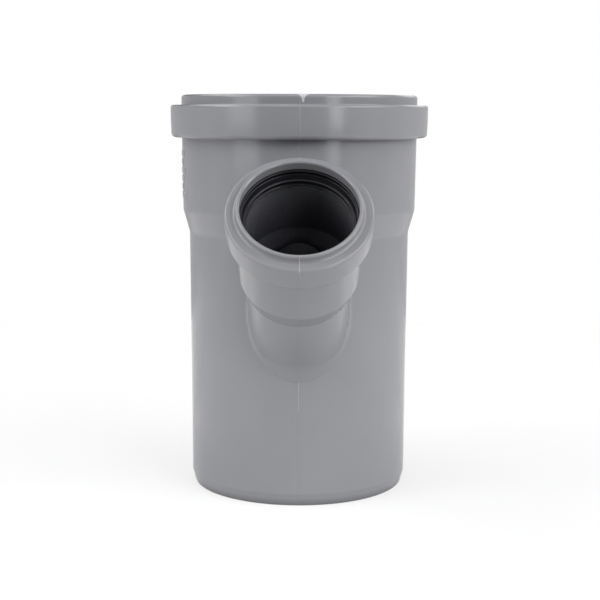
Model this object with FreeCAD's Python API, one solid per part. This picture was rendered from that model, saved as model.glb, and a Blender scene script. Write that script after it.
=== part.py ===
import FreeCAD, Part
import math
import os

from FreeCAD import Vector

# Drain pipe tee, in millimetres and degrees.
# The spigot's end lies on Z = 0, the main axis is Z and the branch leans towards -Y.
# The mould parts on the plane X = 0, so the body is drawn as the half with X > 0 and mirrored.

# main run
spigot_d = 110.0
spigot_length = 58.0
spigot_chamfer_length = 6.0
spigot_chamfer_angle = 15.0
main_bore_d = 104.4
body_draft_angle = 0.28

# branch, and how it joins the main run
branch_angle = 45.0
branch_bore_d = 44.2
branch_pipe_wall = 1.9
branch_reach = 93.0
crotch_gap = 3.8
crotch_radius_below = 8.0
crotch_radius_above = 4.0
stop_gap = 1.6

# main socket, for a 110 mm pipe
main_socket_bore_d = 110.9
main_socket_wall = 3.0
main_socket_draft_angle = 0.6
main_socket_depth = 56.6
main_shoulder_length = 11.0
main_shoulder_radius = 3.0
main_bead_d = 128.6
main_bead_length = 16.2
main_bead_wall = 2.6
main_bead_top_radius = 1.2
main_bead_foot_radius = 3.0
main_rim_d = 117.8
main_rim_length = 4.5
main_rim_radius = 1.3
main_mouth_d = 111.8
main_mouth_length = 6.7

# branch socket, for a 50 mm pipe
branch_socket_bore_d = 50.8
branch_socket_wall = 1.8
branch_socket_draft_angle = 0.4
branch_socket_depth = 42.9
branch_shoulder_length = 11.0
branch_stop_length = 7.5
branch_shoulder_radius = 0.6
branch_bead_d = 64.6
branch_bead_length = 11.3
branch_bead_wall = 1.6
branch_bead_top_radius = 1.2
branch_bead_foot_radius = 1.6
branch_rim_d = 55.4
branch_rim_length = 2.5
branch_rim_radius = 0.9
branch_mouth_d = 51.2
branch_mouth_length = 3.8

# details that both sockets share
mouth_chamfer = 0.5
outer_corner_radius = 0.4
groove_corner_radius = 0.5

# rubber lip seals: a front ring, a valley, then a lip that narrows to a row of ribs that grip the pipe;
# a thickness is measured from the groove's floor
seal_side_gap = 0.2
seal_edge_radius = 0.3
seal_heel_radius = 0.8
seal_rib_count = 3
main_seal_front_thickness = 6.6
main_seal_front_length = 2.0
main_seal_valley_depth = 1.8
main_seal_valley_length = 1.2
main_seal_lip_thickness = 8.5
main_seal_rib_length = 1.2
main_seal_rib_gap = 1.1
main_seal_rib_height = 1.0
branch_seal_front_thickness = 5.6
branch_seal_front_length = 1.3
branch_seal_valley_depth = 1.4
branch_seal_valley_length = 0.8
branch_seal_lip_thickness = 7.1
branch_seal_rib_length = 0.8
branch_seal_rib_gap = 0.85
branch_seal_rib_height = 0.7

# how far a shape runs on inside the one that it joins or cuts
lap = 2.0


def tan(degrees):
    return math.tan(math.radians(degrees))


def sin(degrees):
    return math.sin(math.radians(degrees))


def cos(degrees):
    return math.cos(math.radians(degrees))


# radii of the plain pipes
spigot_r = spigot_d / 2
main_bore_r = main_bore_d / 2
branch_bore_r = branch_bore_d / 2
branch_pipe_r = branch_bore_r + branch_pipe_wall

# heights on the main axis: the crotch's fillet clears the spigot, and the opening clears the stop
crotch_z = spigot_length + crotch_gap + crotch_radius_below * tan(branch_angle / 2)
branch_z = crotch_z - spigot_r / tan(branch_angle) + branch_pipe_r / sin(branch_angle)
opening_top_z = branch_z + main_bore_r / tan(branch_angle) + branch_bore_r / sin(branch_angle)
main_stop_z = opening_top_z + stop_gap
main_seat_z = main_stop_z + main_shoulder_length
main_rim_z = main_seat_z + main_socket_depth
main_bead_top_z = main_rim_z - main_rim_length
main_bead_foot_z = main_bead_top_z - main_bead_length
main_groove_foot_z = main_bead_foot_z + main_bead_wall
main_groove_top_z = main_rim_z - main_mouth_length
main_groove_r = main_bead_d / 2 - main_bead_wall

# distances on the branch's axis, from where it meets the main axis; its stop lies out beyond the opening
branch_seat_s = branch_reach + branch_shoulder_length
branch_stop_s = branch_seat_s - branch_stop_length
branch_rim_s = branch_seat_s + branch_socket_depth
branch_bead_top_s = branch_rim_s - branch_rim_length
branch_bead_foot_s = branch_bead_top_s - branch_bead_length
branch_groove_foot_s = branch_bead_foot_s + branch_bead_wall
branch_groove_top_s = branch_rim_s - branch_mouth_length
branch_groove_r = branch_bead_d / 2 - branch_bead_wall
branch_direction = Vector(0, -sin(branch_angle), cos(branch_angle))


def body_r(z):
    """Outer radius of the drafted pipe above the spigot."""
    return spigot_r + (z - spigot_length) * tan(body_draft_angle)


def profile_point(corner):
    return Vector(0, -corner[0], corner[1])


def rounding(before, corner, after):
    """Start, middle and end of the arc that rounds a profile's corner."""
    apex = profile_point(corner)
    back = (profile_point(before) - apex).normalize()
    ahead = (profile_point(after) - apex).normalize()
    half_angle = back.getAngle(ahead) / 2
    run = corner[2] / math.tan(half_angle)
    depth = corner[2] / math.sin(half_angle) - corner[2]
    inwards = (back + ahead).normalize()
    return apex + back * run, apex + inwards * depth, apex + ahead * run


def turned(corners, degrees):
    """Solid turned about Z from corners given as (radius, height) or (radius, height, rounding)."""
    stretches = []
    for i, corner in enumerate(corners):
        if len(corner) == 3:
            stretches.append(rounding(corners[i - 1], corner, corners[(i + 1) % len(corners)]))
        else:
            stretches.append((profile_point(corner),))
    edges = []
    for i, stretch in enumerate(stretches):
        edges.append(Part.LineSegment(stretches[i - 1][-1], stretch[0]).toShape())
        if len(stretch) == 3:
            edges.append(Part.Arc(*stretch).toShape())
    face = Part.Face(Part.Wire(edges))
    return face.revolve(Vector(0, 0, 0), Vector(0, 0, 1), degrees)


def on_branch(shape):
    """The shape moved from the main axis onto the branch's axis."""
    shape.rotate(Vector(0, 0, 0), Vector(1, 0, 0), branch_angle)
    shape.translate(Vector(0, 0, branch_z))
    return shape


def socket_form(stop, seat, foot, bead_top, rim, pipe_r, tube_r, draft, bead_r, rim_r, radii):
    """Half of a socket's outside, filled in to its axis: shoulder, drafted tube, bead and rim."""
    shoulder_radius, foot_radius, top_radius, rim_radius = radii
    slope = (tube_r - pipe_r) / (seat - stop)
    return turned(
        [
            (0, stop - lap),
            (pipe_r - slope * lap, stop - lap),
            (tube_r, seat, shoulder_radius),
            (tube_r + (foot - seat) * tan(draft), foot, outer_corner_radius),
            (bead_r, foot, foot_radius),
            (bead_r, bead_top, top_radius),
            (rim_r, bead_top, outer_corner_radius),
            (rim_r, rim, rim_radius),
            (0, rim),
        ],
        180,
    )


def socket_core(start, stop, seat, groove_foot, groove_top, rim, bore_r, socket_r, groove_r, mouth_r):
    """Half of the space inside a pipe and its socket, from the flow bore out through the mouth."""
    return turned(
        [
            (0, start),
            (bore_r, start),
            (bore_r, stop),
            (socket_r, seat),
            (socket_r, groove_foot),
            (groove_r, groove_foot, groove_corner_radius),
            (groove_r, groove_top, groove_corner_radius),
            (mouth_r, groove_top),
            (mouth_r, rim - mouth_chamfer),
            (mouth_r + mouth_chamfer, rim),
            (mouth_r + mouth_chamfer, rim + lap),
            (0, rim + lap),
        ],
        180,
    )


def lip_seal(outer_r, front, back, front_r, front_length, valley, lip_r, rib_length, rib_gap, rib_height):
    """Rubber ring on the groove's floor, from its front at the mouth to its back inside the socket."""
    valley_depth, valley_length = valley
    valley_front = front - front_length
    valley_back = valley_front - valley_length
    corners = [
        (outer_r, back, seal_heel_radius),
        (outer_r, front, seal_heel_radius),
        (front_r, front, seal_edge_radius),
        (front_r, valley_front, seal_edge_radius),
        (front_r + valley_depth, valley_front),
        (front_r + valley_depth, valley_back),
        (front_r, valley_back, seal_edge_radius),
    ]
    for i in reversed(range(seal_rib_count)):
        rib_back = back + i * (rib_length + rib_gap)
        corners.append((lip_r + rib_height, rib_back + rib_length))
        corners.append((lip_r, rib_back + rib_length, seal_edge_radius))
        corners.append((lip_r, rib_back, seal_edge_radius))
        if i > 0:
            corners.append((lip_r + rib_height, rib_back))
    return turned(corners, 360)


# plain pipes first, run on inside the sockets to their beads, so that one fillet goes round the whole crotch
main_pipe = turned(
    [
        (0, 0),
        (spigot_r - spigot_chamfer_length * tan(spigot_chamfer_angle), 0),
        (spigot_r, spigot_chamfer_length),
        (spigot_r, spigot_length),
        (body_r(main_bead_top_z), main_bead_top_z),
        (0, main_bead_top_z),
    ],
    180,
)
branch_pipe = turned(
    [
        (0, 0),
        (branch_pipe_r, 0),
        (branch_pipe_r, branch_bead_top_s),
        (0, branch_bead_top_s),
    ],
    180,
)
pipes = main_pipe.fuse(on_branch(branch_pipe))


def in_crotch(edge):
    """True for the curve on which the branch's pipe leaves the main pipe."""
    middle = edge.valueAt((edge.FirstParameter + edge.LastParameter) / 2)
    from_main_axis = math.hypot(middle.x, middle.y)
    from_branch_axis = (middle - Vector(0, 0, branch_z)).cross(branch_direction).Length
    on_main_pipe = abs(from_main_axis - body_r(middle.z)) < 0.01
    on_branch_pipe = abs(from_branch_axis - branch_pipe_r) < 0.01
    return on_main_pipe and on_branch_pipe


# the fillet narrows from the open side below the branch to the tight side above it
crotch = next(edge for edge in pipes.Edges if in_crotch(edge))
crotch_radii = [crotch_radius_below, crotch_radius_above]
if crotch.firstVertex().Z > crotch.lastVertex().Z:
    crotch_radii.reverse()
pipes = pipes.makeFillet(*crotch_radii, [crotch])

main_form = socket_form(
    stop=main_stop_z,
    seat=main_seat_z,
    foot=main_bead_foot_z,
    bead_top=main_bead_top_z,
    rim=main_rim_z,
    pipe_r=body_r(main_stop_z),
    tube_r=main_socket_bore_d / 2 + main_socket_wall,
    draft=main_socket_draft_angle,
    bead_r=main_bead_d / 2,
    rim_r=main_rim_d / 2,
    radii=(main_shoulder_radius, main_bead_foot_radius, main_bead_top_radius, main_rim_radius),
)
branch_form = socket_form(
    stop=branch_reach,
    seat=branch_seat_s,
    foot=branch_bead_foot_s,
    bead_top=branch_bead_top_s,
    rim=branch_rim_s,
    pipe_r=branch_pipe_r,
    tube_r=branch_socket_bore_d / 2 + branch_socket_wall,
    draft=branch_socket_draft_angle,
    bead_r=branch_bead_d / 2,
    rim_r=branch_rim_d / 2,
    radii=(branch_shoulder_radius, branch_bead_foot_radius, branch_bead_top_radius, branch_rim_radius),
)
main_core = socket_core(
    start=-lap,
    stop=main_stop_z,
    seat=main_seat_z,
    groove_foot=main_groove_foot_z,
    groove_top=main_groove_top_z,
    rim=main_rim_z,
    bore_r=main_bore_r,
    socket_r=main_socket_bore_d / 2,
    groove_r=main_groove_r,
    mouth_r=main_mouth_d / 2,
)
branch_core = socket_core(
    start=0,
    stop=branch_stop_s,
    seat=branch_seat_s,
    groove_foot=branch_groove_foot_s,
    groove_top=branch_groove_top_s,
    rim=branch_rim_s,
    bore_r=branch_bore_r,
    socket_r=branch_socket_bore_d / 2,
    groove_r=branch_groove_r,
    mouth_r=branch_mouth_d / 2,
)

outside = pipes.fuse([main_form, on_branch(branch_form)])
half_body = outside.cut([main_core, on_branch(branch_core)])
other_half = half_body.mirror(Vector(0, 0, 0), Vector(1, 0, 0))
tee_body = half_body.fuse(other_half).removeSplitter().Solids[0]

main_socket_seal = lip_seal(
    outer_r=main_groove_r,
    front=main_groove_top_z - seal_side_gap,
    back=main_groove_foot_z + seal_side_gap,
    front_r=main_groove_r - main_seal_front_thickness,
    front_length=main_seal_front_length,
    valley=(main_seal_valley_depth, main_seal_valley_length),
    lip_r=main_groove_r - main_seal_lip_thickness,
    rib_length=main_seal_rib_length,
    rib_gap=main_seal_rib_gap,
    rib_height=main_seal_rib_height,
)
branch_socket_seal = lip_seal(
    outer_r=branch_groove_r,
    front=branch_groove_top_s - seal_side_gap,
    back=branch_groove_foot_s + seal_side_gap,
    front_r=branch_groove_r - branch_seal_front_thickness,
    front_length=branch_seal_front_length,
    valley=(branch_seal_valley_depth, branch_seal_valley_length),
    lip_r=branch_groove_r - branch_seal_lip_thickness,
    rib_length=branch_seal_rib_length,
    rib_gap=branch_seal_rib_gap,
    rib_height=branch_seal_rib_height,
)

os.makedirs("parts", exist_ok=True)
tee_body.exportStep("parts/tee_body.step")
main_socket_seal.exportStep("parts/main_socket_seal.step")
on_branch(branch_socket_seal).exportStep("parts/branch_socket_seal.step")
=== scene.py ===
import math

import bpy
import numpy as np
from mathutils import Matrix, Vector
from mathutils.geometry import delaunay_2d_cdt


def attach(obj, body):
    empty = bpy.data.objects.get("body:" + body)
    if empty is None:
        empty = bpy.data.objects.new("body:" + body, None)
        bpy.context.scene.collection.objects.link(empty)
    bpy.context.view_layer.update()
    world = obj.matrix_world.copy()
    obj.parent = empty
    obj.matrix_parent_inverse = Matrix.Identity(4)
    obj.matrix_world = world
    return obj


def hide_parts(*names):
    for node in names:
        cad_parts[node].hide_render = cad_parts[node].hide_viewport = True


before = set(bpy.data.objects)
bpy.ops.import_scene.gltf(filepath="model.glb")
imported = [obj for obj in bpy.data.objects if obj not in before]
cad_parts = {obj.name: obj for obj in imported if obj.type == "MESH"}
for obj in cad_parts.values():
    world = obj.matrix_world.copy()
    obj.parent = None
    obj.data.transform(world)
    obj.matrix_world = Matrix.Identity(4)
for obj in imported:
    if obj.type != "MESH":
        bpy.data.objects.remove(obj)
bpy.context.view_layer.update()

# Drain pipe tee. Lengths on the object are in millimetres, as in its solids, and the studio is in metres.
MM = 0.001

# main run
spigot_r = 55.0
spigot_length = 58.0
spigot_chamfer_length = 6.0
spigot_chamfer_angle = 15.0
main_bore_r = 52.2
body_draft_angle = 0.28

# branch, and how it joins the main run
branch_angle = 45.0
branch_bore_r = 22.1
branch_pipe_r = 24.0
branch_reach = 93.0
crotch_gap = 3.8
crotch_radius_below = 8.0
crotch_radius_above = 4.0
opening_edge_radius = 0.2
stop_gap = 1.6

# main socket
main_socket_r = 55.45
main_tube_r = 58.45
main_tube_draft = 0.6
main_socket_depth = 56.6
main_shoulder_length = 11.0
main_bead_r = 64.3
main_bead_length = 15.8
main_bead_wall = 2.6
main_rim_r = 58.9
main_rim_length = 4.9
main_mouth_r = 55.9
main_mouth_length = 6.7
main_radii = {"foot": 8.0, "shoulder": 8.0, "bead_foot": 2.0, "bead_top": 1.2, "rim_foot": 0.4, "rim": 1.5}

# branch socket
branch_socket_r = 25.4
branch_tube_r = 27.6
branch_tube_draft = 0.4
branch_head_length = 54.6
branch_socket_depth = 43.6
branch_shoulder_length = 10.5
branch_stop_length = 7.5
branch_bead_r = 32.5
branch_bead_length = 13.4
branch_bead_wall = 1.8
branch_ledge_slope = 0.5
branch_groove_length = 8.4
branch_rim_r = 27.7
branch_rim_length = 3.2
branch_mouth_r = 25.9
branch_mouth_length = 4.5
branch_radii = {"foot": 0.8, "shoulder": 6.0, "bead_foot": 1.6, "bead_top": 1.2, "rim_foot": 1.4, "rim": 0.9}

# edges that both sockets share
mouth_chamfer = 0.5
outer_corner_radius = 0.4
groove_corner_radius = 0.5
moulded_edge_radius = 0.2
stop_radius = 1.2
end_radius = 0.5
bead_taper = 0.35
bead_crown_share = 0.6
eased_foot_radius = 5.0

# how many corners the branch's plain part has, from inside the crotch to its bead
plain_corners = 4

# rubber lip seals: a front ring, a valley, then a lip that narrows to its ribs;
# a thickness is measured from the groove's floor
seal_side_gap = 0.2
seal_edge_radius = 0.3
seal_inner_radius = 0.15
seal_rib_radius = 0.34
seal_heel_radius = 0.8
seal_rib_taper = 0.35
main_seal = {"front": (6.6, 2.0), "valley": (1.8, 1.2), "lip": 8.5, "rib": (1.2, 1.1, 1.0), "ribs": 3}
branch_seal = {"front": (5.6, 1.3), "valley": (1.4, 0.8), "lip": 7.5, "rib": (0.9, 1.5, 0.7), "ribs": 2}

# moulding marks: the ridge where the mould parts, on X = 0, is higher on the branch's bead and rim and on the
# spigot, and rises from nothing at the spigot's end
seam_height = 0.08
seam_head_height = 0.13
seam_foot_height = 0.12
seam_half_width = 0.2
seam_edge = 0.25
seam_end_z = (0.5, 1.5)

# below the branch, the crotch's fillet flares and runs into the main pipe at a small step
flare_radius = 15.0
flare_sink = 1.25
flare_power = 4
step_height = 0.35
step_width = 0.45

# whitened gate mark on the front of the main rim, whitened flash on the parting ridge below the branch and on
# the branch's rim, and the raised ticks on the left of the main socket
gate_x = 1.6
gate_top_width = 6.4
gate_foot_width = 0.9
gate_height = 0.14
gate_taper = 5.5
gate_over_rim = 0.8
flash_length = 18.0
flash_width = 0.45
flash_height = 0.05
flash_end_share = 0.3
tick_count = 6
tick_pitch = 4.1
tick_length = 3.3
tick_first_z = 146.0
tick_height = 0.28
tick_start = -108.0
tick_end = -72.0
tick_steps = (0.0, 5.0, 2.0)

# the studio, in metres: lamps stand round the object on a sphere, and a card lies on the floor on each side
studio_r = 1.5
studio_middle = Vector((0, 0, 0.12))
card_x = 0.28
card_y = -0.1
card_lift = 0.003
card_width = 0.3
card_depth = 0.4

# how finely the meshes are made
main_columns = 220
branch_columns = 170
seal_columns = 192
seam_columns = (0.0, 0.12, 0.2, 0.28, 0.36, 0.45, 0.8)
main_row_spacing = 5.0
branch_row_spacing = 3.0
arc_degrees = 12.0
fillet_rows = 15
step_rows = 6
ring_gap = 0.3
same_place = 1e-6
track_degrees = 1.0
crotch_track_spacing = 0.3
opening_track_spacing = 0.1
mark_degrees = 9.0
mark_row_spacing = 0.5
mark_edge = 0.5
tick_spacing = 1.0
flash_spacing = 2.0
strip_edge_share = 0.2
strip_step_share = 0.1
edge_steps = (0.0, 0.3, 0.65, 1.0)
patch_rise = (-0.5, 0.6, 0.9, 1.0)

# most values of a noise lie between these
noise_low = 0.3
noise_high = 0.7


def tan(degrees):
    return math.tan(math.radians(degrees))


def sin(degrees):
    return math.sin(math.radians(degrees))


def cos(degrees):
    return math.cos(math.radians(degrees))


def body_r(z):
    """Outer radius of the drafted pipe above the spigot."""
    return spigot_r + (z - spigot_length) * tan(body_draft_angle)


# heights on the main axis
crotch_z = spigot_length + crotch_gap + crotch_radius_below * tan(branch_angle / 2)
branch_z = crotch_z - spigot_r / tan(branch_angle) + branch_pipe_r / sin(branch_angle)
opening_top_z = branch_z + main_bore_r / tan(branch_angle) + branch_bore_r / sin(branch_angle)
main_stop_z = opening_top_z + stop_gap
main_seat_z = main_stop_z + main_shoulder_length
main_rim_z = main_seat_z + main_socket_depth
main_bead_top_z = main_rim_z - main_rim_length
main_bead_foot_z = main_bead_top_z - main_bead_length
main_groove_foot_z = main_bead_foot_z + main_bead_wall
main_groove_top_z = main_rim_z - main_mouth_length
main_groove_r = main_bead_r - main_bead_wall

# distances on the branch's axis
branch_start_s = spigot_r / sin(branch_angle) - branch_pipe_r / tan(branch_angle) - crotch_radius_below
branch_shoulder_s = branch_reach + branch_shoulder_length
branch_rim_s = branch_reach + branch_head_length
branch_seat_s = branch_rim_s - branch_socket_depth
branch_stop_s = branch_seat_s - branch_stop_length
branch_bead_top_s = branch_rim_s - branch_rim_length
branch_bead_foot_s = branch_bead_top_s - branch_bead_length
branch_groove_top_s = branch_rim_s - branch_mouth_length
branch_groove_foot_s = branch_groove_top_s - branch_groove_length
branch_groove_r = branch_bead_r - branch_bead_wall


def unit(v):
    return v / np.linalg.norm(v, axis=-1, keepdims=True)


def smooth_share(low, high, x):
    """0 below low and 1 above high, with its slope."""
    t = np.clip((x - low) / (high - low), 0, 1)
    return t * t * (3 - 2 * t), 6 * t * (1 - t) / (high - low)


class Axis:
    """A line that forms are turned about. Angles are measured from its front, towards +X."""

    def __init__(self, origin, along, front):
        self.origin = np.array(origin)
        self.along = np.array(along)
        self.front = np.array(front)
        self.side = np.array((1.0, 0.0, 0.0))

    def direction(self, r, z, angle):
        outwards = np.sin(angle)[..., None] * self.side + np.cos(angle)[..., None] * self.front
        return z[..., None] * self.along + r[..., None] * outwards

    def at(self, r, z, angle):
        return self.origin + self.direction(r, z, angle)

    def coordinates(self, points):
        """Radius, height and angle of points."""
        offset = points - self.origin
        z = offset @ self.along
        flat = offset - z[..., None] * self.along
        return np.linalg.norm(flat, axis=-1), z, np.arctan2(flat @ self.side, flat @ self.front)

    def grid(self, rows, angles):
        """Points and normals of a form turned from a profile's rows."""
        shape = (len(rows), len(angles))
        r, z, normal_r, normal_z = (np.broadcast_to(rows[:, i, None], shape) for i in range(4))
        angle = np.broadcast_to(angles[None], shape)
        return self.at(r, z, angle), self.direction(normal_r, normal_z, angle)


main_axis = Axis((0, 0, 0), (0, 0, 1), (0, -1, 0))
branch_axis = Axis(
    (0, 0, branch_z),
    (0, -sin(branch_angle), cos(branch_angle)),
    (0, -cos(branch_angle), -sin(branch_angle)),
)


def socket_outside(stop, seat, foot, bead_top, ledge_slope, rim, pipe_r, tube_r, draft, bead_r, rim_r, radii):
    """Corners (radius, height, rounding) up a socket's outside: shoulder, drafted tube, crowned bead, rim."""
    half_bead = (bead_top - ledge_slope - foot) / 2
    crown_r = bead_crown_share * half_bead / math.tan(math.atan(bead_taper / half_bead) / 2)
    return [
        (pipe_r, stop, radii["foot"]),
        (tube_r, seat, radii["shoulder"]),
        (tube_r + (foot - seat) * tan(draft), foot, outer_corner_radius),
        (bead_r - bead_taper, foot, radii["bead_foot"]),
        (bead_r, foot + half_bead, crown_r),
        (bead_r, bead_top - ledge_slope, radii["bead_top"]),
        (rim_r, bead_top, radii["rim_foot"]),
        (rim_r, rim, radii["rim"]),
    ]


def socket_inside(stop, seat, groove_foot, groove_top, rim, bore_r, socket_r, groove_r, mouth_r):
    """Corners down a socket's inside: mouth, groove, bore and stop."""
    return [
        (mouth_r + mouth_chamfer, rim, moulded_edge_radius),
        (mouth_r, rim - mouth_chamfer, moulded_edge_radius),
        (mouth_r, groove_top, moulded_edge_radius),
        (groove_r, groove_top, groove_corner_radius),
        (groove_r, groove_foot, groove_corner_radius),
        (socket_r, groove_foot, moulded_edge_radius),
        (socket_r, seat, stop_radius),
        (bore_r, stop, stop_radius),
    ]


def main_outside():
    """The main run's profile from its end up to its rim."""
    spigot = [
        (spigot_r - spigot_chamfer_length * tan(spigot_chamfer_angle), 0.0, end_radius),
        (spigot_r, spigot_chamfer_length, stop_radius),
        (spigot_r, spigot_length, spigot_length / 2),
    ]
    return spigot + socket_outside(
        stop=main_stop_z,
        seat=main_seat_z,
        foot=main_bead_foot_z,
        bead_top=main_bead_top_z,
        ledge_slope=0.0,
        rim=main_rim_z,
        pipe_r=body_r(main_stop_z),
        tube_r=main_tube_r,
        draft=main_tube_draft,
        bead_r=main_bead_r,
        rim_r=main_rim_r,
        radii=main_radii,
    )


def main_inside():
    """The main run's profile from its mouth down to its end."""
    socket = socket_inside(
        stop=main_stop_z,
        seat=main_seat_z,
        groove_foot=main_groove_foot_z,
        groove_top=main_groove_top_z,
        rim=main_rim_z,
        bore_r=main_bore_r,
        socket_r=main_socket_r,
        groove_r=main_groove_r,
        mouth_r=main_mouth_r,
    )
    return socket + [(main_bore_r, 0.0, end_radius)]


def branch_outside(radii):
    """The branch's profile from inside the crotch out to its rim."""
    socket = socket_outside(
        stop=branch_reach,
        seat=branch_shoulder_s,
        foot=branch_bead_foot_s,
        bead_top=branch_bead_top_s,
        ledge_slope=branch_ledge_slope,
        rim=branch_rim_s,
        pipe_r=branch_pipe_r,
        tube_r=branch_tube_r,
        draft=branch_tube_draft,
        bead_r=branch_bead_r,
        rim_r=branch_rim_r,
        radii=radii,
    )
    return [(branch_pipe_r, branch_start_s, 0.0)] + socket


def branch_inside():
    """The branch's profile from its mouth back into the main run."""
    socket = socket_inside(
        stop=branch_stop_s,
        seat=branch_seat_s,
        groove_foot=branch_groove_foot_s,
        groove_top=branch_groove_top_s,
        rim=branch_rim_s,
        bore_r=branch_bore_r,
        socket_r=branch_socket_r,
        groove_r=branch_groove_r,
        mouth_r=branch_mouth_r,
    )
    return socket + [(branch_bore_r, branch_start_s, 0.0)]


def right_of(way):
    return np.array((way[1], -way[0]))


def corner_arc(before, corner, after, step):
    """Points and normals round a profile's corner. A normal is on the right of the way along the profile."""
    apex = np.array(corner[:2])
    back = unit(np.array(before[:2]) - apex)
    ahead = unit(np.array(after[:2]) - apex)
    turn = math.acos(np.clip(-back @ ahead, -1, 1))
    start = apex + back * corner[2] * math.tan(turn / 2)
    centre = apex + unit(back + ahead) * corner[2] / math.cos(turn / 2)
    first, last = right_of(-back), right_of(ahead)
    sense = math.copysign(corner[2], first @ (start - centre))
    steps = max(2, math.ceil(math.degrees(turn) / step))
    arc = []
    for share in np.linspace(0, 1, steps + 1):
        normal = (math.sin((1 - share) * turn) * first + math.sin(share * turn) * last) / math.sin(turn)
        arc.append((centre + sense * normal, normal))
    return arc


def profile_rows(corners, closed, spacing, step=arc_degrees):
    """Rows (radius, height, normal radius, normal height) along a profile with rounded corners."""
    count = len(corners)
    stretches = []
    for i, corner in enumerate(corners):
        if closed or 0 < i < count - 1:
            stretches.append(corner_arc(corners[i - 1], corner, corners[(i + 1) % count], step))
        else:
            near = np.array(corners[1 if i == 0 else i - 1][:2]) - corner[:2]
            stretches.append([(np.array(corner[:2]), right_of(unit(near if i == 0 else -near)))])
    rows = []
    for i, arc in enumerate(stretches):
        if closed or i > 0:
            begin, end = stretches[i - 1][-1][0], arc[0][0]
            length = np.linalg.norm(end - begin)
            normal = right_of((end - begin) / length)
            for share in np.linspace(0, 1, max(1, math.ceil(length / spacing)) + 1)[1:-1]:
                rows.append((begin + (end - begin) * share, normal))
        rows.extend(arc)
    return np.array([(*point, *normal) for point, normal in rows])


def column_angles(count, radius):
    """Angles round an axis from its front, close together at the two parting lines."""
    near = np.array(seam_columns) / radius
    between = np.linspace(near[-1], math.pi - near[-1], count // 2)[1:-1]
    half = np.concatenate((near, between, math.pi - near[::-1]))
    return np.concatenate((-half[1:-1][::-1], half))


class Skin:
    """Collects vertices with their normals, and faces."""

    def __init__(self):
        self.points = np.zeros((0, 3))
        self.normals = np.zeros((0, 3))
        self.faces = []

    def add(self, points, normals):
        """Adds a grid of vertices and gives their numbers."""
        first = len(self.points)
        self.points = np.concatenate((self.points, points.reshape(-1, 3)))
        self.normals = np.concatenate((self.normals, normals.reshape(-1, 3)))
        return np.arange(first, len(self.points)).reshape(points.shape[:-1])

    def cells(self, numbers, wrap_columns=True, wrap_rows=False, left_out=None):
        """Faces between the rows and columns of a grid, where corners may have been brought together."""
        rows, columns = numbers.shape
        for k in range(rows if wrap_rows else rows - 1):
            for j in range(columns if wrap_columns else columns - 1):
                if left_out is not None and left_out[k, j]:
                    continue
                up, right = (k + 1) % rows, (j + 1) % columns
                around = (numbers[k, j], numbers[k, right], numbers[up, right], numbers[up, j])
                corners = list(dict.fromkeys(int(c) for c in around))
                if len(corners) > 2:
                    self.faces.append(corners)

    def make(self, name, material):
        """A smooth mesh object, in metres, of the vertices that faces use."""
        used = np.unique(np.concatenate([np.array(face) for face in self.faces]))
        number = np.full(len(self.points), -1)
        number[used] = np.arange(len(used))
        mesh = bpy.data.meshes.new(name)
        mesh.from_pydata((self.points[used] * MM).tolist(), [], [number[f].tolist() for f in self.faces])
        mesh.polygons.foreach_set("use_smooth", [True] * len(mesh.polygons))
        mesh.normals_split_custom_set_from_vertices(unit(self.normals[used]).tolist())
        mesh.materials.append(material)
        mesh.update()
        piece = bpy.data.objects.new(name, mesh)
        bpy.context.scene.collection.objects.link(piece)
        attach(piece, "root")
        return piece


class Wall:
    """A turned wall: its profile's rows, up the outside and down the inside, and its columns' angles."""

    def __init__(self, rows, angles):
        self.rows = rows
        self.angles = angles
        self.inner = np.arange(len(rows)) > np.argmax(rows[:, 1])


def distance_to(rows, r, z):
    """Signed distance from points to a profile, positive outside it, and the height of the nearest place."""
    best = np.full(r.shape, np.inf)
    near_z = np.zeros(r.shape)
    for start, end in zip(rows[:-1, :2], rows[1:, :2]):
        run = end - start
        share = np.clip(((r - start[0]) * run[0] + (z - start[1]) * run[1]) / (run @ run), 0, 1)
        gap = np.hypot(r - start[0] - share * run[0], z - start[1] - share * run[1])
        near_z = np.where(gap < best, start[1] + share * run[1], near_z)
        best = np.minimum(gap, best)
    return np.where(r > radius_at(rows, z), best, -best), near_z


def radius_at(rows, z):
    order = np.argsort(rows[:, 1], kind="stable")
    return np.interp(z, rows[order, 1], rows[order, 0])


def rolled_ball(main_rows, branch_rows, angles, radii, sink, side):
    """A ball rolled along the corner between the main run, into which it sinks, and the branch: its centres,
    how far out on the branch it touches, and the height and angle of the main run's place nearest to it.
    side is 1 where the branch's normal points at the ball and -1 where it points away."""
    def centres_at(rows, ball, angle):
        r, s, normal_r, normal_s = np.moveaxis(rows, -1, 0)
        return branch_axis.at(r + side * ball * normal_r, s + side * ball * normal_s, angle)

    shape = (len(angles), len(branch_rows))
    wide = np.broadcast_to(branch_rows[None], (*shape, 4))
    centres = centres_at(wide, radii[:, None], np.broadcast_to(angles[:, None], shape))
    r, z, _ = main_axis.coordinates(centres)
    gap = distance_to(main_rows, r, z)[0] - (radii - sink)[:, None]
    last = shape[1] - 1 - np.argmax((gap < 0)[:, ::-1], axis=1)
    each = np.arange(shape[0])
    share = (gap[each, last] / (gap[each, last] - gap[each, last + 1]))[:, None]
    touch = branch_rows[last] * (1 - share) + branch_rows[last + 1] * share
    centres = centres_at(touch, radii, angles)
    r, z, angle = main_axis.coordinates(centres)
    return centres, touch[:, 1], distance_to(main_rows, r, z)[1], angle


def turned_part(first, last, sweep, share):
    """Directions part of the way from the first ones to the last ones."""
    return (np.sin((1 - share) * sweep) * first + np.sin(share * sweep) * last) / np.sin(sweep)


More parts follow.
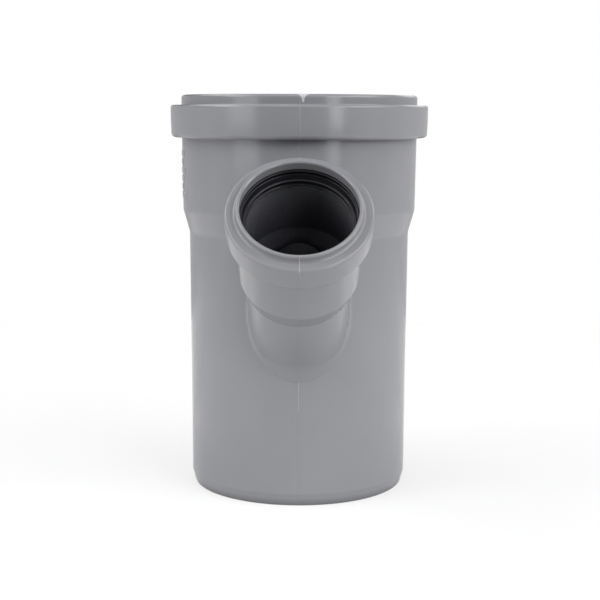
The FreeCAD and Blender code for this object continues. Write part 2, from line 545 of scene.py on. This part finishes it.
def fillet(ball, main_rows, branch_rows, angles, radii, sink, side):
    """Rows of points and normals from a rolled ball's line on the branch to the line where it enters the main
    run, and the angles of that line on the main run."""
    centres, s, z, angle = ball
    radius = radii[:, None]
    on_branch = branch_axis.at(radius_at(branch_rows, s), s, angles)
    nearest = main_axis.at(radius_at(main_rows, z), z, angle)
    first, deepest = unit(on_branch - centres), unit(nearest - centres)
    whole = np.arccos(np.clip((first * deepest).sum(1), -1, 1))[:, None]
    sweep = whole - np.arccos(1 - sink[:, None] / radius)
    last = turned_part(first, deepest, whole, sweep / whole)
    _, z, angle = main_axis.coordinates(centres + radius * last)
    on_main = main_axis.at(radius_at(main_rows, z), z, angle)
    points, normals = [], []
    for share in np.linspace(0, 1, fillet_rows):
        spoke = turned_part(first, last, sweep, share)
        point = centres + radius * spoke
        point += (1 - share) * (on_branch - centres - radius * first)
        point += share * (on_main - centres - radius * last)
        points.append(point)
        normals.append(-side * spoke)
    return points, normals, angle


def add_step(points, normals, main_rows, angle, height):
    """Lifts the end of a fillet off the main run and adds the rows that step down to it."""
    wall = main_axis.direction(np.ones_like(angle), np.zeros_like(angle), angle)
    onward = points[-1] - points[-2]
    onward = unit(onward - (onward * wall).sum(1, keepdims=True) * wall)
    foot = points[-1]
    for i, share in enumerate(np.linspace(0, 1, fillet_rows)):
        points[i] = points[i] + wall * height * share ** 2
    for run in np.linspace(0, step_width, step_rows)[1:]:
        _, z, turn = main_axis.coordinates(foot + onward * run)
        fall, slope = smooth_share(0, step_width, run)
        points.append(main_axis.at(radius_at(main_rows, z), z, turn) + wall * height * (1 - fall))
        normals.append(unit(wall + onward * height * slope))


def inside_loop(places, loop):
    """Which flat places lie inside a closed line."""
    x, y = places[:, 0, None], places[:, 1, None]
    x0, y0 = loop.T
    x1, y1 = np.roll(loop, -1, axis=0).T
    spans = (y0 > y) != (y1 > y)
    rise = np.where(y1 == y0, 1.0, y1 - y0)
    return (spans & (x < x0 + (y - y0) * (x1 - x0) / rise)).sum(1) % 2 == 1


def gap_to_loop(places, loop):
    """Distance from flat places to a closed line."""
    run = np.roll(loop, -1, axis=0) - loop
    offset = places[:, None] - loop[None]
    share = np.clip((offset * run).sum(2) / (run * run).sum(1), 0, 1)
    return np.linalg.norm(offset - share[..., None] * run, axis=2).min(1)


def fill_window(skin, numbers, flat, ring, ring_flat, facing):
    """Triangles from the edge of a window in a grid to a ring inside it. flat and ring_flat are the places of
    the vertices on the unrolled surface, and facing is 1 where that surface is seen from outside and -1 from
    inside."""
    rows, columns = numbers.shape
    places = flat.reshape(-1, 2)
    clear = ~inside_loop(places, ring_flat) & (gap_to_loop(places, ring_flat) > ring_gap)
    kept = clear.reshape(rows, columns)
    kept[[0, -1], :] = True
    kept[:, [0, -1]] = True
    count = int(kept.sum())
    index = np.full((rows, columns), -1)
    index[kept] = np.arange(count)
    along = [((k, j), (k, j + 1)) for k in range(rows) for j in range(columns - 1)]
    up = [((k, j), (k + 1, j)) for k in range(rows - 1) for j in (0, columns - 1)]
    ways = [(a, b) for a, b in along + up if kept[a] and kept[b]]
    middles = np.array([(flat[a] + flat[b]) / 2 for a, b in ways])
    open_way = ~inside_loop(middles, ring_flat) & (gap_to_loop(middles, ring_flat) > ring_gap / 3)
    edges = [(int(index[a]), int(index[b])) for (a, b), fine in zip(ways, open_way) if fine]
    edges += [(count + i, count + (i + 1) % len(ring)) for i in range(len(ring))]
    places = [Vector(p) for p in np.concatenate((flat[kept], ring_flat))]
    names = np.concatenate((numbers[kept], ring))
    made, _, faces, origins, _, _ = delaunay_2d_cdt(places, edges, [], 0, same_place)
    corners = np.array([[made[i] for i in face] for face in faces])
    in_ring = inside_loop(corners.mean(1), ring_flat)
    first, second = corners[:, 1] - corners[:, 0], corners[:, 2] - corners[:, 0]
    turn = first[:, 0] * second[:, 1] - first[:, 1] * second[:, 0]
    for face, hidden, sense in zip(faces, in_ring, turn * facing):
        if not hidden:
            order = face if sense > 0 else face[::-1]
            skin.faces.append([int(names[origins[i][0]]) for i in order])


def add_crotch(skin, main, branch):
    """The crotch's fillet, which flares to a small step below the branch, and how far out on the branch it
    starts."""
    below = np.clip(np.cos(branch.angles), 0, 1) ** flare_power
    radii = crotch_radius_above + (crotch_radius_below + flare_radius - crotch_radius_above) * below
    sink = flare_sink * below
    main_rows = main.rows[~main.inner & (main.rows[:, 1] < main_bead_foot_z)]
    # the ball needs hollow corners wider than itself, so it rolls on a branch with its shoulder's foot eased
    eased = dict(branch_radii, foot=eased_foot_radius)
    track = profile_rows(branch_outside(eased)[:plain_corners], False, crotch_track_spacing, track_degrees)
    ball = rolled_ball(main_rows, track, branch.angles, radii, sink, 1)
    branch_rows = branch.rows[~branch.inner]
    points, normals, turn = fillet(ball, main_rows, branch_rows, branch.angles, radii, sink, 1)
    add_step(points, normals, main_rows, turn, step_height * below[:, None])
    numbers = skin.add(np.array(points), np.array(normals))
    skin.cells(numbers[::-1])
    return numbers, ball[1]


def add_opening(skin, main, branch):
    """The edge where the branch opens into the main bore, and how far out on the branch it starts."""
    radii = np.full(len(branch.angles), opening_edge_radius)
    flush = np.zeros(len(branch.angles))
    main_rows = main.rows[main.inner & (main.rows[:, 1] < main_bead_foot_z)]
    track = profile_rows(branch_inside()[-plain_corners:], False, opening_track_spacing, track_degrees)[::-1]
    ball = rolled_ball(main_rows, track, branch.angles, radii, flush, -1)
    branch_rows = branch.rows[branch.inner]
    points, normals, _ = fillet(ball, main_rows, branch_rows, branch.angles, radii, flush, -1)
    numbers = skin.add(np.array(points), np.array(normals))
    skin.cells(numbers)
    return numbers, ball[1]


def add_branch(skin, branch, crotch, crotch_s, opening, opening_s):
    """The branch, whose rows stop at the crotch outside and at the opening inside."""
    numbers = skin.add(*branch_axis.grid(branch.rows, branch.angles))
    inner, s = branch.inner[:, None], branch.rows[:, 1, None]
    numbers = np.where(~inner & (s < crotch_s + ring_gap), crotch[0], numbers)
    numbers = np.where(inner & (s < opening_s + ring_gap), opening[0], numbers)
    skin.cells(numbers)
    return numbers


def add_main_run(skin, main, crotch, opening):
    """The main run, a closed grid with a window round the crotch and another round the opening."""
    numbers = skin.add(*main_axis.grid(main.rows, main.angles))
    left_out = np.zeros(numbers.shape, bool)
    z = main.rows[:, 1]
    margin = main_row_spacing + 3 * ring_gap
    for ring, side, facing in ((crotch[-1], ~main.inner, 1), (opening[-1], main.inner, -1)):
        _, ring_z, ring_angle = main_axis.coordinates(skin.points[ring])
        k = np.nonzero(side & (z > ring_z.min() - margin) & (z < ring_z.max() + margin))[0]
        j = np.nonzero(np.abs(main.angles) < np.abs(ring_angle).max() + margin / spigot_r)[0]
        left_out[k[0]:k[-1], j[0]:j[-1]] = True
        flat = np.stack(np.meshgrid(main.angles[j] * spigot_r, z[k]), axis=-1)
        ring_flat = np.stack((ring_angle * spigot_r, ring_z), axis=-1)
        fill_window(skin, numbers[np.ix_(k, j)], flat, ring, ring_flat, facing)
    skin.cells(numbers, wrap_rows=True, left_out=left_out)
    return numbers


def raise_ridge(skin, heights):
    """Raises the parting ridge, from its full height at each vertex of the skin."""
    x, z = skin.points[:, 0], skin.points[:, 2]
    fall, slope = smooth_share(seam_half_width, seam_half_width + seam_edge, np.abs(x))
    height = (heights * smooth_share(*seam_end_z, z)[0])[:, None]
    skin.points += skin.normals * height * (1 - fall)[:, None]
    skin.normals += height * (slope * np.sign(x))[:, None] * main_axis.side


def make_body(material):
    """The moulded body: the main run and the branch, joined by the crotch outside and the opening inside."""
    main_rows = profile_rows(main_outside() + main_inside(), True, main_row_spacing)
    branch_rows = profile_rows(branch_outside(branch_radii) + branch_inside(), False, branch_row_spacing)
    main = Wall(main_rows, column_angles(main_columns, spigot_r))
    branch = Wall(branch_rows, column_angles(branch_columns, branch_pipe_r))
    skin = Skin()
    crotch, crotch_s = add_crotch(skin, main, branch)
    opening, opening_s = add_opening(skin, main, branch)
    branch_grid = add_branch(skin, branch, crotch, crotch_s, opening, opening_s)
    main_grid = add_main_run(skin, main, crotch, opening)
    heights = np.zeros(len(skin.points))
    heights[crotch] = seam_height
    heights[main_grid[~main.inner]] = seam_height
    heights[main_grid[~main.inner & (main_rows[:, 1] < crotch_z)]] = seam_foot_height
    heights[branch_grid[~branch.inner]] = seam_height
    heights[branch_grid[~branch.inner & (branch_rows[:, 1] > branch_bead_foot_s)]] = seam_head_height
    raise_ridge(skin, heights)
    return skin.make("moulded_tee", material)


def make_seal(name, axis, groove_r, back, front, sizes, material):
    """A rubber ring on the groove's floor, from its front at the mouth to its back inside the socket."""
    front_thickness, front_length = sizes["front"]
    valley_depth, valley_length = sizes["valley"]
    rib_length, rib_gap, rib_height = sizes["rib"]
    front_r, lip_r = groove_r - front_thickness, groove_r - sizes["lip"]
    valley_front = front - front_length
    valley_back = valley_front - valley_length
    corners = [
        (groove_r, back, seal_heel_radius),
        (groove_r, front, seal_heel_radius),
        (front_r, front, seal_edge_radius),
        (front_r, valley_front, seal_edge_radius),
        (front_r + valley_depth, valley_front, seal_inner_radius),
        (front_r + valley_depth, valley_back, seal_inner_radius),
        (front_r, valley_back, seal_edge_radius),
    ]
    for i in reversed(range(sizes["ribs"])):
        rib_back = back + i * (rib_length + rib_gap)
        rib_r = lip_r + i * seal_rib_taper
        corners.append((rib_r + rib_height, rib_back + rib_length, seal_inner_radius))
        corners.append((rib_r, rib_back + rib_length, seal_rib_radius))
        corners.append((rib_r, rib_back, seal_rib_radius))
        if i > 0:
            corners.append((rib_r + rib_height, rib_back, seal_inner_radius))
    rows = profile_rows(corners, True, main_row_spacing, 2 * arc_degrees)
    angles = np.linspace(-math.pi, math.pi, seal_columns, endpoint=False)
    skin = Skin()
    skin.cells(skin.add(*axis.grid(rows, angles)), wrap_rows=True)
    return skin.make(name, material)


def add_patch(skin, points, normals, height):
    """A low closed form on a surface, rounded down from its height to its edge, with its back in the wall."""
    rows, columns = points.shape[:2]
    k, j = np.meshgrid(np.arange(rows), np.arange(columns), indexing="ij")
    from_edge = np.minimum(np.minimum(k, rows - 1 - k), np.minimum(j, columns - 1 - j))
    lift = height * np.choose(np.minimum(from_edge, len(patch_rise) - 1), patch_rise)
    top_points = points + normals * lift[..., None]
    along = np.gradient(top_points, axis=0)
    across = np.gradient(top_points, axis=1)
    top = skin.add(top_points, unit(np.cross(across, along)))
    back = skin.add(points - normals * height / 2, -normals)
    back = np.where(from_edge == 0, top, back)
    skin.cells(top, wrap_columns=False)
    skin.cells(back[::-1], wrap_columns=False)


def edged(low, high, edge, spacing):
    """Places from low to high, close together near both ends."""
    near = np.array(edge_steps) * edge
    between = np.linspace(low + edge, high - edge, max(2, math.ceil((high - low - 2 * edge) / spacing) + 1))
    return np.concatenate((low + near[:-1], between, (high - near[:-1])[::-1]))


def make_ticks(material):
    """Plain raised bars on the left of the main socket, in place of its lettering."""
    skin = Skin()
    for i in range(tick_count):
        start = math.radians(tick_start) * main_tube_r
        end = math.radians(tick_end - tick_steps[i % len(tick_steps)]) * main_tube_r
        foot = tick_first_z + i * tick_pitch
        up = edged(foot, foot + tick_length, mark_edge, tick_spacing)
        along = edged(start, end, mark_edge, tick_spacing)
        z, arc = np.meshgrid(up, along, indexing="ij")
        r = main_tube_r + (z - main_seat_z) * tan(main_tube_draft)
        angle = arc / main_tube_r
        normals = main_axis.direction(np.ones_like(r), np.zeros_like(r), angle)
        add_patch(skin, main_axis.at(r, z, angle), normals, tick_height)
    return skin.make("raised_ticks", material)


def make_strip(name, axis, rows, x, width, height, material):
    """A low raised strip along a profile's rows, x to the right of the front, with its width at each row."""
    across = edged(-0.5, 0.5, strip_edge_share, strip_step_share)
    angle = (x + across[None] * width[:, None]) / rows[:, :1]
    r, z, normal_r, normal_z = (np.broadcast_to(rows[:, i, None], angle.shape) for i in range(4))
    skin = Skin()
    add_patch(skin, axis.at(r, z, angle), axis.direction(normal_r, normal_z, angle), height)
    return skin.make(name, material)


def make_gate_mark(material):
    """The whitened funnel where the plastic came in, on the front of the main rim."""
    rim = profile_rows(main_outside()[-3:] + main_inside()[:1], False, mark_row_spacing, mark_degrees)
    inwards = main_rim_r - rim[:, 0]
    above_bead = rim[:, 1] > main_bead_top_z + outer_corner_radius
    rows = rim[above_bead & (inwards < gate_over_rim * main_radii["rim"])]
    down = (rows[-1, 1] - rows[:, 1]) / main_rim_length
    width = gate_foot_width + (gate_top_width - gate_foot_width) * np.exp(-down * gate_taper)
    return make_strip("gate_mark", main_axis, rows, gate_x, width, gate_height, material)


def make_spigot_flash(material):
    """Whitened flash on the parting ridge, that fades out down the spigot from the crotch."""
    z = edged(crotch_z - flash_length, crotch_z, mark_edge, flash_spacing)
    r = np.full_like(z, spigot_r + seam_foot_height)
    rows = np.stack((r, z, np.ones_like(z), np.zeros_like(z)), axis=1)
    width = flash_width * np.linspace(flash_end_share, 1.0, len(z))
    return make_strip("spigot_flash", main_axis, rows, 0.0, width, flash_height, material)


def make_rim_flash(material):
    """Whitened flash on the parting ridge, from the edge of the branch's bead over its rim."""
    rows = profile_rows(branch_outside(branch_radii), False, mark_row_spacing, mark_degrees)
    rows = rows[rows[:, 1] > branch_bead_top_s - branch_radii["bead_top"]]
    rows[:, :2] += seam_head_height * rows[:, 2:]
    width = np.full(len(rows), flash_width)
    return make_strip("rim_flash", branch_axis, rows, 0.0, width, flash_height, material)


def new_material(name):
    material = bpy.data.materials.new(name)
    material.use_nodes = True
    tree = material.node_tree
    return material, tree.nodes, tree.links, tree.nodes["Principled BSDF"]


def noise(nodes, links, place, scale, detail):
    node = nodes.new("ShaderNodeTexNoise")
    node.inputs["Scale"].default_value = scale
    node.inputs["Detail"].default_value = detail
    links.new(place, node.inputs["Vector"])
    return node.outputs["Fac"]


def stretched(nodes, links, place, scale):
    node = nodes.new("ShaderNodeMapping")
    node.inputs["Scale"].default_value = scale
    links.new(place, node.inputs["Vector"])
    return node.outputs["Vector"]


def spread(nodes, links, value, low, high, to_low, to_high):
    """A value taken from one range to another."""
    node = nodes.new("ShaderNodeMapRange")
    node.inputs["From Min"].default_value = low
    node.inputs["From Max"].default_value = high
    node.inputs["To Min"].default_value = to_low
    node.inputs["To Max"].default_value = to_high
    links.new(value, node.inputs["Value"])
    return node.outputs["Result"]


def tones(nodes, links, factor, stops):
    """Colours along a value, from stops (position, colour)."""
    ramp = nodes.new("ShaderNodeValToRGB")
    while len(ramp.color_ramp.elements) < len(stops):
        ramp.color_ramp.elements.new(1.0)
    for element, (position, colour) in zip(ramp.color_ramp.elements, stops):
        element.position = position
        element.color = (*colour, 1)
    links.new(factor, ramp.inputs["Fac"])
    return ramp.outputs["Color"]


def mottled(nodes, links, value, darker, paler):
    """Two colours mixed by a noise."""
    return tones(nodes, links, value, ((noise_low, darker), (noise_high, paler)))


def bump(nodes, links, height, strength, distance, under=None):
    node = nodes.new("ShaderNodeBump")
    node.inputs["Strength"].default_value = strength
    node.inputs["Distance"].default_value = distance
    links.new(height, node.inputs["Height"])
    if under is not None:
        links.new(under, node.inputs["Normal"])
    return node.outputs["Normal"]


def multiplied(nodes, links, colour, factor):
    node = nodes.new("ShaderNodeVectorMath")
    node.operation = "MULTIPLY"
    links.new(colour, node.inputs[0])
    links.new(factor, node.inputs[1])
    return node.outputs[0]


def painted_hollow_shade(nodes, links, colour, reach, open_share, painted_shade):
    """A colour taken towards a cool painted shade where the object's own walls stand close round a place, by
    ambient occlusion.
    """
    openness = nodes.new("ShaderNodeAmbientOcclusion")
    openness.samples = 8
    openness.only_local = True
    openness.inputs["Distance"].default_value = reach
    factor = tones(nodes, links, openness.outputs["AO"], ((0.0, painted_shade), (open_share, (1, 1, 1))))
    return multiplied(nodes, links, colour, factor)


def painted_bore_shade(nodes, links, place, colour, painted_shade):
    """A colour taken towards a cool painted shade on the main bore. It changes inside the wall, clear of both
    its faces."""
    from_bore, from_outside = 0.3, 0.6
    distance = nodes.new("ShaderNodeVectorMath")
    distance.operation = "LENGTH"
    links.new(stretched(nodes, links, place, (1, 1, 0)), distance.inputs[0])
    bore, outer = (main_bore_r + from_bore) * MM, (spigot_r - from_outside) * MM
    outside = spread(nodes, links, distance.outputs["Value"], bore, outer, 0.0, 1.0)
    return multiplied(nodes, links, colour, tones(nodes, links, outside, ((0.0, painted_shade), (1.0, (1, 1, 1)))))


def plastic():
    """Satin grey polypropylene, with faint clouds of colour and fine streaks along the flow, and painted
    shade that darkens it in its hollows and on the main bore."""
    material, nodes, links, shader = new_material("body_plastic")
    place = nodes.new("ShaderNodeTexCoord").outputs["Object"]
    clouds = noise(nodes, links, place, scale=28.0, detail=3.0)
    colour = mottled(nodes, links, clouds, (0.230, 0.2325, 0.249), (0.242, 0.2445, 0.261))
    # painted shade: the colour is darkened and turned bluish in hollows, creases and deep inside the sockets
    colour = painted_hollow_shade(nodes, links, colour, reach=0.06, open_share=0.5, painted_shade=(0.04, 0.043, 0.12))
    colour = painted_hollow_shade(nodes, links, colour, reach=0.25, open_share=0.15, painted_shade=(0.02, 0.022, 0.1))
    # painted shade: the main bore's colour is darkened
    colour = painted_bore_shade(nodes, links, place, colour, painted_shade=(0.26, 0.265, 0.29))
    links.new(colour, shader.inputs["Base Color"])
    along_flow = stretched(nodes, links, place, (260, 260, 9))
    streaks = noise(nodes, links, along_flow, scale=1.0, detail=3.0)
    roughness = spread(nodes, links, streaks, noise_low, noise_high, 0.16, 0.21)
    links.new(roughness, shader.inputs["Roughness"])
    grain = noise(nodes, links, place, scale=1400.0, detail=2.0)
    grained = bump(nodes, links, grain, strength=0.05, distance=0.0001)
    streaked = bump(nodes, links, streaks, strength=0.03, distance=0.0002, under=grained)
    links.new(streaked, shader.inputs["Normal"])
    return material


def whitened_plastic(name, darker, paler):
    """The same plastic where it was torn or trimmed, paler and rougher."""
    material, nodes, links, shader = new_material(name)
    place = nodes.new("ShaderNodeTexCoord").outputs["Object"]
    torn = noise(nodes, links, place, scale=900.0, detail=3.0)
    links.new(mottled(nodes, links, torn, darker, paler), shader.inputs["Base Color"])
    shader.inputs["Roughness"].default_value = 0.5
    links.new(bump(nodes, links, torn, strength=0.2, distance=0.0002), shader.inputs["Normal"])
    return material


def rubber():
    """Near-black rubber, dull and a little dusty."""
    material, nodes, links, shader = new_material("seal_rubber")
    place = nodes.new("ShaderNodeTexCoord").outputs["Object"]
    dust = noise(nodes, links, place, scale=220.0, detail=4.0)
    colour = mottled(nodes, links, dust, (0.008, 0.008, 0.011), (0.013, 0.013, 0.017))
    links.new(colour, shader.inputs["Base Color"])
    roughness = spread(nodes, links, dust, noise_low, noise_high, 0.18, 0.26)
    links.new(roughness, shader.inputs["Roughness"])
    grain = noise(nodes, links, place, scale=1800.0, detail=2.0)
    links.new(bump(nodes, links, grain, strength=0.08, distance=0.0001), shader.inputs["Normal"])
    return material


def white_floor():
    """A pale floor. The camera sees it as white paper that keeps the object's shadow."""
    material, nodes, links, shader = new_material("white_floor")
    nodes.remove(shader)
    lit = nodes.new("ShaderNodeBsdfDiffuse")
    lit.inputs["Color"].default_value = (0.8, 0.8, 0.8, 1)
    shadowed = nodes.new("ShaderNodeBsdfDiffuse")
    shadowed.inputs["Color"].default_value = (0.4, 0.4, 0.4, 1)
    paper = nodes.new("ShaderNodeEmission")
    paper.inputs["Strength"].default_value = 0.55
    seen = nodes.new("ShaderNodeAddShader")
    links.new(shadowed.outputs[0], seen.inputs[0])
    links.new(paper.outputs[0], seen.inputs[1])
    choice = nodes.new("ShaderNodeMixShader")
    links.new(nodes.new("ShaderNodeLightPath").outputs["Is Camera Ray"], choice.inputs["Fac"])
    links.new(lit.outputs[0], choice.inputs[1])
    links.new(seen.outputs[0], choice.inputs[2])
    links.new(choice.outputs[0], nodes["Material Output"].inputs["Surface"])
    return material


def make_floor():
    """A table. Its front edge lies below the frame, and behind it the studio is as white."""
    left, right, front, back = -0.8, 0.8, -0.45, 0.5
    corners = [(left, front, 0), (right, front, 0), (right, back, 0), (left, back, 0)]
    mesh = bpy.data.meshes.new("floor")
    mesh.from_pydata(corners, [], [(0, 1, 2, 3)])
    mesh.materials.append(white_floor())
    floor = bpy.data.objects.new("floor", mesh)
    bpy.context.scene.collection.objects.link(floor)


def make_world():
    """A dark studio, which the camera sees as plain white."""
    world = bpy.data.worlds.new("studio")
    bpy.context.scene.world = world
    world.use_nodes = True
    nodes, links = world.node_tree.nodes, world.node_tree.links
    studio = nodes["Background"]
    studio.inputs["Color"].default_value = (0, 0, 0, 1)
    paper = nodes.new("ShaderNodeBackground")
    paper.inputs["Color"].default_value = (1, 1, 1, 1)
    choice = nodes.new("ShaderNodeMixShader")
    links.new(nodes.new("ShaderNodeLightPath").outputs["Is Camera Ray"], choice.inputs["Fac"])
    links.new(studio.outputs[0], choice.inputs[1])
    links.new(paper.outputs[0], choice.inputs[2])
    links.new(choice.outputs[0], nodes["World Output"].inputs["Surface"])


def make_lamp(name, place, target, width, height, radiance):
    """A soft rectangular lamp that the camera doesn't see."""
    lamp = bpy.data.lights.new(name, "AREA")
    lamp.shape = "RECTANGLE"
    lamp.size = width
    lamp.size_y = height
    lamp.energy = radiance * math.pi * width * height
    holder = bpy.data.objects.new(name, lamp)
    holder.location = place
    holder.rotation_euler = (target - place).to_track_quat("-Z", "Y").to_euler()
    holder.visible_camera = False
    bpy.context.scene.collection.objects.link(holder)


def make_panel(name, azimuth, elevation, radiance):
    """A soft lamp on a sphere round the object, from the two ranges of angle that it spans there. Azimuth is
    measured from the camera's side to the right."""
    turn, rise = sum(azimuth) / 2, sum(elevation) / 2
    width = 2 * studio_r * tan((azimuth[1] - azimuth[0]) / 2) * cos(rise)
    height = 2 * studio_r * tan((elevation[1] - elevation[0]) / 2)
    outwards = Vector((sin(turn) * cos(rise), -cos(turn) * cos(rise), sin(rise)))
    make_lamp(name, studio_middle + studio_r * outwards, studio_middle, width, height, radiance)


def make_lights():
    """Soft panels all round, with a gap in front of the object and a narrow strip on each side of the gap,
    and a faint card that lies on the floor on each side, for the undersides."""
    make_world()
    low, side, high, top = (-12, 15), (15, 35), (35, 60), (60, 90)
    for name, azimuth, elevation, radiance in (
        ("low_back_left", (-182, -95), low, 0.5),
        ("low_left", (-95, -63), low, 0.74),
        ("strip_left", (-63, -38), (-2, 15), 2.6),
        ("strip_right", (25.5, 38), (-2, 15), 3.6),
        ("low_right", (42, 95), low, 0.3),
        ("low_back_right", (95, 182), low, 0.6),
        ("side_left", (-80, -55), side, 4.3),
        ("side_right", (25, 80), side, 5.05),
        ("side_back_right", (125, 182), side, 1.7),
        ("high_back_left", (-180, -120), high, 1.75),
        ("high_left", (-120, -60), high, 3.8),
        ("high_front", (-60, 60), high, 1.9),
        ("high_right", (60, 120), high, 2.55),
        ("top", (-60, 60), top, 0.41),
    ):
        make_panel(name, azimuth, elevation, radiance)
    for name, x, radiance in (("card_left", -card_x, 0.26), ("card_right", card_x, 0.2)):
        place = Vector((x, card_y, card_lift))
        make_lamp(name, place, place + Vector((0, 0, 1)), card_width, card_depth, radiance)


def make_camera():
    """The photograph's view, in a 600 x 600 frame."""
    frame_px, focal_px, centre_px = 600, 1297.4, (298.55, 336.0)
    pitch, roll, turn = 9.775, 0.211, -0.1
    distance, height = 0.6608, 0.18827
    lens = bpy.data.cameras.new("camera")
    lens.sensor_width = 36.0
    lens.lens = focal_px / frame_px * lens.sensor_width
    lens.shift_x = 0.5 - centre_px[0] / frame_px
    lens.shift_y = centre_px[1] / frame_px - 0.5
    camera = bpy.data.objects.new("camera", lens)
    place = Matrix.Rotation(math.radians(turn), 4, "Z") @ Matrix.Translation((0, -distance, height))
    aim = Matrix.Rotation(math.radians(90 - pitch), 4, "X") @ Matrix.Rotation(math.radians(roll), 4, "Z")
    camera.matrix_world = place @ aim
    bpy.context.scene.collection.objects.link(camera)
    bpy.context.scene.camera = camera


body_plastic = plastic()
seal_rubber = rubber()

tee = make_body(body_plastic)
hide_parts("tee_body")

ticks = make_ticks(body_plastic)
gate_mark = make_gate_mark(whitened_plastic("torn_plastic", (0.47, 0.47, 0.52), (0.56, 0.56, 0.61)))
trimmed_plastic = whitened_plastic("trimmed_plastic", (0.28, 0.28, 0.31), (0.33, 0.33, 0.36))
for make_flash in (make_spigot_flash, make_rim_flash):
    make_flash(trimmed_plastic)

main_ring = make_seal(
    "main_lip_seal",
    main_axis,
    main_groove_r,
    main_groove_foot_z + seal_side_gap,
    main_groove_top_z - seal_side_gap,
    main_seal,
    seal_rubber,
)
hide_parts("main_socket_seal")

branch_ring = make_seal(
    "branch_lip_seal",
    branch_axis,
    branch_groove_r,
    branch_groove_foot_s + seal_side_gap,
    branch_groove_top_s - seal_side_gap,
    branch_seal,
    seal_rubber,
)
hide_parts("branch_socket_seal")

make_floor()
make_lights()
make_camera()
bpy.context.scene.view_settings.view_transform = "Standard"
